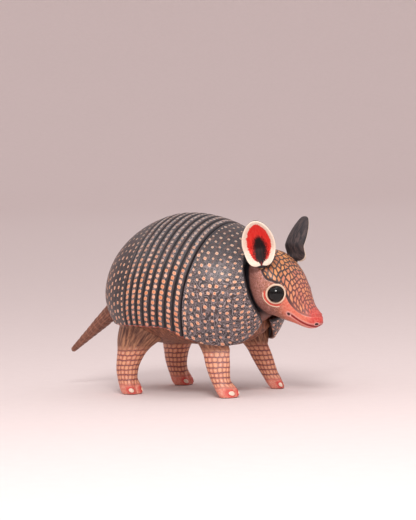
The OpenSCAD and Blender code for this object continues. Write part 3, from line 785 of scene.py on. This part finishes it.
def shell_paint():
    p = Paint("shell_paint")
    row, arc, rim, collar, side, shrink = p.attributes("row", "arc", "rim", "collar", "side", "shrink")
    wobble = p.noise(4.5, 1) - 0.5
    band_row = row / PITCH
    in_bands = p.step(row, -0.5, 0.0) * p.step(row, LAST_ROW + 0.5, LAST_ROW)
    on_shields = 1 - in_bands
    number = p.floor(band_row)
    # One dot in the middle of every band, at an arc pitch that differs a little from band to band.
    across = p.fract(band_row) - 0.5
    count = arc / BAND_DOTS + p.chance(number, 3.0, 1.0)
    dot_number = p.floor(count)
    along = p.fract(count) - 0.5
    luck = p.chance(number, dot_number, 5.0)
    luck2 = p.chance(number, dot_number, 9.0)
    half_x = (across * PITCH + (luck - 0.5) * 0.35 + wobble * 0.4) / (0.66 + luck2 * 0.14)
    half_y = (along * BAND_DOTS + (luck2 - 0.5) * 0.22) / (0.62 + luck * 0.1)
    dot = round_square(p, half_x, half_y)
    # Shields: staggered rows of rounder dots.
    gap_size = p.math("MULTIPLY_ADD", p.step(row, 0, 10), FRONT_ROWS - REAR_ROWS, REAR_ROWS)
    from_band = p.math("MAXIMUM", row - LAST_ROW, row * -1)
    rows = (from_band - SHIELD_FROM) / gap_size
    row_number = p.floor(rows)
    shift = p.fract(row_number * 0.5)
    pitch2 = p.math("MULTIPLY_ADD", p.step(row_number, 0.5, 0.6), MORE_DOTS, FIRST_DOTS)
    ahead = p.step(row, 0, 1)
    from_middle = (p.fract(rows) - 0.5) * gap_size * (ahead * 2 - 1)
    count2 = arc * (1 - shrink * from_middle) / pitch2 + shift
    count2 = count2 + p.chance(row_number, 7.0, ahead) * 0.3 + wobble * 0.35
    luck3 = p.chance(row_number, p.floor(count2), 2.0)
    luck4 = p.chance(row_number, p.floor(count2), 4.0)
    sx = ((p.fract(rows) - 0.5) * gap_size + (luck3 - 0.5) * 0.5) / (0.44 + luck4 * 0.32)
    sy = ((p.fract(count2) - 0.5) * pitch2 + (luck4 - 0.5) * 0.4) / (0.44 + luck4 * 0.28 + luck3 * 0.06)
    shield_dot = round_square(p, sx, sy)
    dot = dot * in_bands + shield_dot * on_shields
    luck = luck * in_bands + luck3 * on_shields
    x, _, height_z = p.xyz()
    fading = p.step(height_z + wobble * 8, 41, 62)
    inside = p.step(dot + wobble * 0.25 + fading * 0.28, 1.08, 0.86)
    heart = p.step(dot + wobble * 0.3, 0.62, 0.38)
    low = p.step(height_z + wobble * 8, 40, 27)
    ring = p.mix(luck, (0.86, 0.50, 0.35), PEACH)
    ring = p.mix(low * 0.6, ring, (0.76, 0.27, 0.16))
    ring = p.mix(fading * 0.85, ring, (0.40, 0.34, 0.30))
    hearts = p.mix(luck, PEACH, (0.74, 0.22, 0.09))
    hearts = p.mix(fading * 0.85, hearts, (0.34, 0.26, 0.21))
    ring = p.mix(on_shields * 0.5, ring, CREAM)
    dots = p.mix(heart * p.step(luck + on_shields, 0.15, 0.5), ring, hearts)
    streaks = p.noise(1.1, 3, 0.65, place=p.vector(row, arc * 0.35), distortion=0.6)
    squiggle = p.noise(0.9, 2, 0.6, distortion=1.6)
    ground = p.lay(CHARCOAL, CHARCOAL_PALE, squiggle, 0.52, 0.72)
    ground = p.lay(ground, BROWN, streaks, 0.45, 0.75, 0.35)
    contour = p.fract(p.noise(2.8, 1, 0.5, distortion=0.9) * 9.0)
    hatch = p.step(abs(contour - 0.5), 0.24, 0.08) * on_shields * p.step(row, -3, 20)
    hatch = hatch * p.step(height_z + wobble * 10, 60, 38)
    ground = p.mix(hatch * 0.85, ground, (0.36, 0.30, 0.31))
    rear = p.step(x + wobble * 6, -14, -32)
    ground = p.mix(rear * 0.6, ground, (0.17, 0.105, 0.095))
    links = p.step(abs(across), 0.26, 0.12) * p.step(p.noise(0.6, 2), 0.42, 0.6) * in_bands
    ground = p.mix(links * 0.6, ground, PALE_GREY)
    dots = p.mix(rear * 0.3, dots, (0.46, 0.22, 0.15))
    colour = p.mix(inside, ground, dots)
    near = abs(p.fract(band_row + 0.5) - 0.5) * PITCH
    groove = p.step(near, 0.52, 0.28) * in_bands
    colour = p.mix(groove, colour, BLACK_PAINT_AND_SHADE)
    edge = p.step(rim + wobble * 0.4, 0.75, 0.45)
    colour = p.mix(edge * p.step(row, 34, 26) * 0.9, colour, p.mix(p.noise(2.4), CORAL, DARK_RED))
    front_rim = p.step(collar + wobble * 1.2, 1.5, 1.0)
    colour = p.mix(front_rim, colour, BLACK_PAINT_AND_SHADE)
    colour = p.lay(colour, DARK_BROWN, side, 0.02, 0.2)
    grain = p.noise(0.35, 3, 0.6)
    height = inside * 0.5 + p.noise(0.5, 2) * 0.35 + grain * 0.2
    rough = 0.42 + grain * 0.2 - inside * 0.06
    return p.finish(colour, rough, height, 0.14, coat=0.18, coat_roughness=0.28)


def head_paint():
    p = Paint("head_paint")
    shield, eye, lid, mouth, corner = p.attributes("shield", "eye", "lid", "mouth", "corner")
    nostril, collar, around, along = p.attributes("nostril", "collar", "around", "along")
    x, _, z = p.xyz()
    wobble = p.noise(3.0, 2) - 0.5
    # Rosy cheeks, brown by the shell and coral towards the nose.
    fine = p.noise(0.7, 3, 0.6)
    squiggle = p.step(abs(p.noise(2.2, 1, 0.5, distortion=2.0) - 0.5), 0.035, 0.012)
    cheek = p.lay(BROWN, ROSY, fine, 0.35, 0.7)
    cheek = p.lay(cheek, (0.20, 0.07, 0.055), p.noise(0.55, 3, 0.7), 0.52, 0.62, 0.8)
    cheek = p.lay(cheek, (0.70, 0.36, 0.32), p.noise(0.8, 2, 0.6, distortion=0.8), 0.56, 0.66, 0.6)
    cheek = p.mix(squiggle * p.step(x, 46, 40) * 0.8, cheek, PINK)
    muzzle = p.lay(CORAL, (0.80, 0.27, 0.18), fine, 0.3, 0.75)
    skin = p.lay(cheek, muzzle, x + wobble * 3, 43.5, 49)
    skin = p.lay(skin, (0.64, 0.06, 0.055), x + wobble * 1.5 - 0.35 * (z - 26.5), 54.6, 57.4, 0.9)
    skin = p.mix(p.step(z + wobble * 2, 31, 26) * p.step(x, 46, 40), skin, (0.34, 0.13, 0.07))
    skin = p.lay(skin, (0.20, 0.085, 0.075), collar + wobble * 2, 8, 0.5, 0.65)
    # The scale shield on top.
    spread = p.vector(around + wobble * 0.6, along * 0.92)
    cell_edge = p.cells(1.85, "DISTANCE_TO_EDGE", place=spread, random=0.6)
    cell_luck = p.cells(1.85, "F1", place=spread, random=0.6, key=1)
    luck = p.output(0, "ShaderNodeSeparateColor", {0: cell_luck})
    scale = p.mix(luck, (0.78, 0.34, 0.12), (0.50, 0.17, 0.07))
    front_scale = p.mix(luck, (0.78, 0.32, 0.17), (0.66, 0.21, 0.16))
    scale = p.lay(scale, front_scale, x + wobble * 5, 44, 50, 0.8)
    scale = p.lay(scale, (0.30, 0.16, 0.08), x + wobble * 6, 42, 36, 0.7)
    scale = p.lay(scale, (0.68, 0.10, 0.08), x + wobble * 3, 52.5, 56, 0.75)
    scale = p.lay(scale, BROWN, fine, 0.4, 0.8, 0.4)
    outline = p.step(cell_edge + wobble * 0.08 + (fine - 0.5) * 0.07, 0.21, 0.11)
    grout = p.lay((0.065, 0.040, 0.038), (0.22, 0.07, 0.065), x, 46, 53)
    scale = p.mix(outline, scale, grout)
    on_shield = p.step(shield + wobble * 0.2, -0.1, 0.15)
    colour = p.mix(on_shield, skin, scale)
    edge = p.step(abs(shield + wobble * 0.3), 0.5, 0.3)
    colour = p.mix(edge, colour, p.lay((0.06, 0.03, 0.03), (0.44, 0.17, 0.14), x, 48, 53))
    nose_red = p.lay((0.60, 0.045, 0.04), (0.74, 0.16, 0.12), fine, 0.35, 0.7)
    colour = p.lay(colour, nose_red, x + wobble * 1.6 - 0.3 * (z - 27), 53.2, 55.4, 0.85)
    # Eye surround.
    surround = p.step(eye + wobble * 0.1, 1.4, 1.0) * p.step(lid, 1.3, 0.7)
    colour = p.mix(surround, colour, p.mix(fine, RED, CORAL))
    lid_line = p.step(lid + wobble * 0.15, 0.26, 0.14)
    colour = p.mix(lid_line, colour, CREAM)
    ring = p.step(abs(eye - 0.14 + wobble * 0.12), 0.36, 0.26)
    colour = p.mix(ring, colour, CREAM)
    # Mouth and nostril.
    colour = p.lay(colour, PINK, mouth + wobble * 0.2, 1.25, 0.85, 0.55)
    mouth_line = p.lay(MAROON, (0.34, 0.015, 0.015), x, 46.5, 50)
    colour = p.lay(colour, mouth_line, mouth + wobble * 0.15, 0.52, 0.34)
    colour = p.lay(colour, PINK, corner + wobble * 0.2, 1.15, 0.85)
    colour = p.lay(colour, MAROON, corner + wobble * 0.2, 0.66, 0.48)
    colour = p.lay(colour, PINK, nostril, 1.2, 0.9)
    colour = p.lay(colour, MAROON, nostril, 0.8, 0.62)
    # Near-black where the head goes under the shell: partly a dark painted seam, partly painted shade of the
    # gap under the shell's rim.
    colour = p.mix(p.step(collar + wobble * 0.8, 0.3, -0.9) * p.step(z, 27, 32), colour, BLACK_PAINT_AND_SHADE)
    grain = p.noise(0.3, 3, 0.6)
    height = (1 - outline) * on_shield * 0.6 + grain * 0.25 + fine * 0.3
    return p.finish(colour, 0.40 + grain * 0.18, height, 0.13, coat=0.22, coat_roughness=0.25)


def eye_paint():
    p = Paint("eye_lacquer")
    facing, = p.attributes("facing")
    grain = p.noise(0.8, 2)
    colour = p.lay((0.001, 0.001, 0.001), (0.010, 0.005, 0.005), facing, 0.35, 0.15, 0.5)
    colour = p.lay(colour, (0.008, 0.007, 0.008), grain, 0.4, 0.8, 0.2)
    return p.finish(colour, 0.03 + grain * 0.04, grain, 0.006, specular=0.42)


# Half width of the dark wedge inside the ear, as (height, half width).
WEDGE = [(0.0, 0.5), (1.0, 0.8), (3.0, 1.9), (5.5, 2.7), (8.5, 2.2), (11.8, 0.3)]
WEDGE_HEIGHT, WEDGE_HALF = 12, 3


def ear_paint():
    p = Paint("ear_paint")
    rim, across, up, side = p.attributes("rim", "across", "up", "side")
    wobble = p.noise(1.6, 2) - 0.5
    brush = p.noise(1.0, 3, 0.7, place=p.vector(across * 1.6, up * 0.3), distortion=0.4)
    red = p.lay((0.74, 0.02, 0.015), (0.80, 0.05, 0.035), brush, 0.35, 0.75)
    red = p.lay(red, CORAL, p.noise(0.9, 2), 0.55, 0.8, 0.25)
    curve = p.node("ShaderNodeFloatCurve", {"Value": up / WEDGE_HEIGHT})
    points = curve.mapping.curves[0].points
    while len(points) < len(WEDGE):
        points.new(0.5, 0.5)
    for point, (height, half) in zip(points, WEDGE):
        point.location = (height / WEDGE_HEIGHT, half / WEDGE_HALF)
    curve.mapping.update()
    speckle = (p.noise(0.4, 3, 0.7) - 0.5) * 3.4 + (brush - 0.5) * 2.2
    beyond = abs(across + wobble * 0.5) - Value(p, curve.outputs[0]) * WEDGE_HALF
    wedge = p.step(beyond + speckle * p.step(up, 0.5, 4.0), 0.8, -0.9) * p.step(up + brush * 2, 13.5, 11.0)
    dark = p.lay((0.035, 0.006, 0.008), (0.006, 0.003, 0.004), brush, 0.3, 0.55)
    colour = p.mix(wedge, red, dark)
    line = rim + wobble * 0.5 + (p.noise(0.5, 3, 0.7) - 0.5) * 1.5
    pale = p.lay((0.93, 0.82, 0.68), CREAM, fine_of(p), 0.5, 0.8)
    colour = p.lay(colour, pale, line, 1.85, 1.5)
    split = p.step(abs(across), 0.35, 0.15) * p.step(up, 3.0, 1.8)
    colour = p.mix(split, colour, DARK_RED)
    outside = p.lay((0.030, 0.026, 0.030), (0.105, 0.075, 0.072), brush, 0.4, 0.7)
    colour = p.lay(colour, outside, side + wobble * 0.2, 0.22, 0.4)
    height = brush * 0.6 + p.noise(0.3, 2) * 0.3
    return p.finish(colour, 0.5 + brush * 0.12, height, 0.12, specular=0.25)


LEG_CELLS, LEG_CELL_HEIGHT = 17, 1.85


def leg_paint():
    p = Paint("leg_paint")
    turn, nail = p.attributes("turn", "nail")
    z = p.xyz()[2]
    wobble = p.noise(2.6, 2) - 0.5
    fine = fine_of(p)
    level = z + wobble * 0.9
    rows = level / LEG_CELL_HEIGHT
    row_number = p.floor(rows)
    count = (turn + 180) * (LEG_CELLS / 360) + p.chance(row_number, 2.0, 3.0) * 0.9 + wobble * 0.3
    cell = p.floor(count)
    luck = p.chance(row_number, cell, 6.0)
    cx = (p.fract(count) - 0.5) * 2
    cy = (p.fract(rows) - 0.5) * 2
    d = round_square(p, cx, cy) + (fine - 0.5) * 0.25
    inside = p.step(d, 0.92, 0.66)
    peach = p.mix(luck, (0.78, 0.36, 0.20), (0.70, 0.26, 0.16))
    peach = p.mix(p.step(d, 0.55, 0.1) * (luck * 0.6 + 0.35) * 0.75, peach, CREAM)
    lines = p.mix(fine, (0.34, 0.115, 0.085), (0.46, 0.18, 0.12))
    lines = p.lay(lines, (0.20, 0.065, 0.075), abs(cy) - abs(cx), -0.15, 0.15)
    cells = p.mix(inside, lines, peach)
    stroke = p.noise(0.9, 3, 0.65, place=p.vector(turn * 0.12, z * 0.16), distortion=0.3)
    top = p.lay(DARK_BROWN, (0.50, 0.24, 0.13), stroke, 0.35, 0.7)
    colour = p.lay(cells, top, level + (stroke - 0.5) * 6, 14.8, 19.4)
    foot_colour = p.lay((0.72, 0.19, 0.13), (0.84, 0.40, 0.30), fine, 0.3, 0.75)
    foot_colour = p.lay(foot_colour, (0.66, 0.07, 0.06), nail + wobble, 2.9, 1.2, 0.8)
    colour = p.lay(colour, foot_colour, level + (fine - 0.5) * 1.5, 5.2, 2.6)
    colour = p.lay(colour, DARK_BROWN, z, 0.35, 0.1)
    colour = p.lay(colour, RED, nail, 1.25, 1.1)
    colour = p.lay(colour, (0.88, 0.72, 0.58), nail, 1.02, 0.9)
    height = inside * 0.45 * p.step(level, 17, 16) + fine * 0.3 + stroke * 0.3
    return p.finish(colour, 0.44 + fine * 0.15, height, 0.13, coat=0.15)


def tail_paint():
    p = Paint("tail_paint")
    along, turn = p.attributes("along", "turn")
    wobble = p.noise(3, 2) - 0.5
    brush = p.noise(0.9, 3, 0.65, place=p.vector(turn * 0.09, along * 0.25), distortion=0.3)
    ring = p.step(abs(p.fract((along + wobble * 0.8) / TAIL_RING) - 0.5), 0.32, 0.46)
    colour = p.lay(DARK_BROWN, (0.36, 0.145, 0.085), brush, 0.3, 0.75)
    colour = p.mix(ring * 0.3, colour, (0.44, 0.22, 0.15))
    colour = p.lay(colour, DARK_BROWN, along, 5.0, 2.0, 0.5)
    grain = fine_of(p)
    height = ring * 0.4 + brush * 0.5 + grain * 0.2
    return p.finish(colour, 0.45 + grain * 0.15, height, 0.12, coat=0.15)


def body_paint():
    p = Paint("body_paint")
    x, y, z = p.xyz()
    brush = p.noise(1.4, 3, 0.65, distortion=0.5)
    stroke = p.noise(0.8, 3, 0.65, place=p.vector(x * 1.6, y * 0.5, z * 0.25), distortion=0.4)
    colour = p.lay((0.10, 0.035, 0.022), (0.38, 0.15, 0.08), stroke, 0.35, 0.7)
    # Near-black painted shade on the trunk's upper half, which sits in the hollow under the shell.
    colour = p.lay(colour, BLACK_PAINT_AND_SHADE, z + brush * 4, 34, 40)
    grain = fine_of(p)
    height = brush * 0.6 + grain * 0.3
    return p.finish(colour, 0.5 + grain * 0.15, height, 0.15, coat=0.1, coat_roughness=0.35)


def bare_wood():
    p = Paint("bare_wood")
    x, y, z = p.xyz()
    grain = p.noise(0.8, 3, 0.6, place=p.vector(x * 2.2, y * 2.2, z * 0.25))
    colour = p.lay(WOOD, (0.40, 0.24, 0.12), grain, 0.35, 0.7)
    return p.finish(colour, 0.6 + grain * 0.2, grain, 0.08)


shell_mat, head_mat, eye_mat, ear_mat = shell_paint(), head_paint(), eye_paint(), ear_paint()
leg_mat, tail_mat, body_mat, wood_mat = leg_paint(), tail_paint(), body_paint(), bare_wood()

# ---- the pieces ----

shell_pieces(shell_mat)
trunk_piece(body_mat)
head_piece(head_mat)
for side, word in ((-1, "right"), (1, "left")):
    eye_piece("eye_bead_" + word, side, eye_mat, "eye_" + word)
    ear_pieces("ear_carving_" + word, side, ear_mat, "ear_" + word, "ear_" + word)
    for end, keys, foot_x, rim, seed in (("front", FRONT_LEG_KEYS, FRONT_FOOT_X, FRONT_RIM_Z, 31),
                                         ("hind", HIND_LEG_KEYS, HIND_FOOT_X, HIND_RIM_Z, 32)):
        leg_piece(f"{end}_leg_{word}", keys, foot_x, rim, side, leg_mat, f"leg_{end}_{word}", seed)
tail_piece(tail_mat)
for node in ("carapace_pegs", "neck_dowel", "leg_dowels", "ear_peg_right", "ear_peg_left", "tail_peg"):
    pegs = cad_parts[node].data
    pegs.materials.clear()
    pegs.materials.append(wood_mat)

# ---- floor, light and camera ----

def floor_paint():
    p = Paint("floor_paper")
    fibre = p.noise(6, 3, 0.6)
    colour = p.mix(fibre, (0.78, 0.70, 0.695), (0.82, 0.74, 0.735))
    return p.finish(colour, 0.75 + fibre * 0.1, fibre, 0.05, specular=0.15)


# A round sheet of paper that curves up into a low wall far behind the figure on every side.
FLAT_R, SWEEP_R, FLOOR_WALL, FLOOR_SIDES = 2.6, 1.0, 0.8, 72
sweep = [math.radians(k) for k in range(10, 91, 10)]
profile = [(0.02, 0.0), (FLAT_R, 0.0)]
profile += [(FLAT_R + SWEEP_R * math.sin(k), SWEEP_R * (1 - math.cos(k))) for k in sweep]
profile.append((FLAT_R + SWEEP_R, SWEEP_R + FLOOR_WALL))
turns = [2 * math.pi * j / FLOOR_SIDES for j in range(FLOOR_SIDES)]
floor_points = [(r * math.cos(t), r * math.sin(t), z) for r, z in profile for t in turns]
floor_faces = grid_faces(len(profile), FLOOR_SIDES, wrap=True, flip=True) + [list(range(FLOOR_SIDES))]
floor_mesh = bpy.data.meshes.new("floor")
floor_mesh.from_pydata(floor_points, [], floor_faces)
floor_mesh.shade_smooth()
floor = new_object("floor", floor_mesh)
floor_mesh.materials.append(floor_paint())

WORLD_COLOUR, WORLD_STRENGTH = (1.0, 0.90, 0.89, 1), 0.81
scene, world = bpy.context.scene, bpy.data.worlds.new("studio")
scene.world = world
world.use_nodes = True
background = next(n for n in world.node_tree.nodes if n.type == "BACKGROUND")
background.inputs["Color"].default_value = WORLD_COLOUR
background.inputs["Strength"].default_value = WORLD_STRENGTH


def way_from(azimuth, elevation):
    """Direction from the figure, at an azimuth from its right side and an elevation."""
    a, e = math.radians(azimuth), math.radians(elevation)
    return Vector((math.sin(a) * math.cos(e), -math.cos(a) * math.cos(e), math.sin(e)))


def soft_light(name, azimuth, elevation, distance, size, power_w, colour):
    data = bpy.data.lights.new(name, "AREA")
    data.shape = "DISK"
    data.size, data.energy, data.color = size * MM, power_w, colour
    lamp = new_object(name, data)
    aim = Vector((0, 0, LIGHTS_AIM_Z * MM))
    lamp.location = aim + way_from(azimuth, elevation) * distance * MM
    lamp.rotation_euler = (aim - lamp.location).to_track_quat("-Z", "Y").to_euler()


LIGHTS_AIM_Z = 40
soft_light("key_light", 36, 38, 600, 200, 1.95, (1.0, 0.97, 0.95))
soft_light("top_light", 20, 80, 700, 500, 0.6, (1.0, 0.97, 0.96))

# The camera stands ahead and to the right of the figure, a little above its middle, and leans.
AZIMUTH, ELEVATION, ROLL = 35.0, 2.9, math.radians(2.0)
TARGET_Z, DISTANCE, RIGHT_BY, UP_BY, LENS = 38.0, 900.0, 3.93, 11.68, 164.8
forward, right = -way_from(AZIMUTH, ELEVATION), way_from(AZIMUTH + 90, 0)
up = right.cross(forward)
tilted_right = right * math.cos(ROLL) - up * math.sin(ROLL)
tilted_up = right * math.sin(ROLL) + up * math.cos(ROLL)
place = Vector((SHIFT_X, 0, TARGET_Z)) - forward * DISTANCE + tilted_right * RIGHT_BY + tilted_up * UP_BY
camera_data = bpy.data.cameras.new("camera")
camera_data.lens, camera_data.sensor_width, camera_data.sensor_fit = LENS, 36.0, "AUTO"
camera_data.clip_start, camera_data.clip_end = 0.05, 20
camera = new_object("camera", camera_data)
axes = Matrix((tilted_right, tilted_up, -forward)).transposed().to_4x4()
camera.matrix_world = Matrix.Translation(place * MM) @ axes
scene.camera = camera
scene.view_settings.view_transform = "Standard"
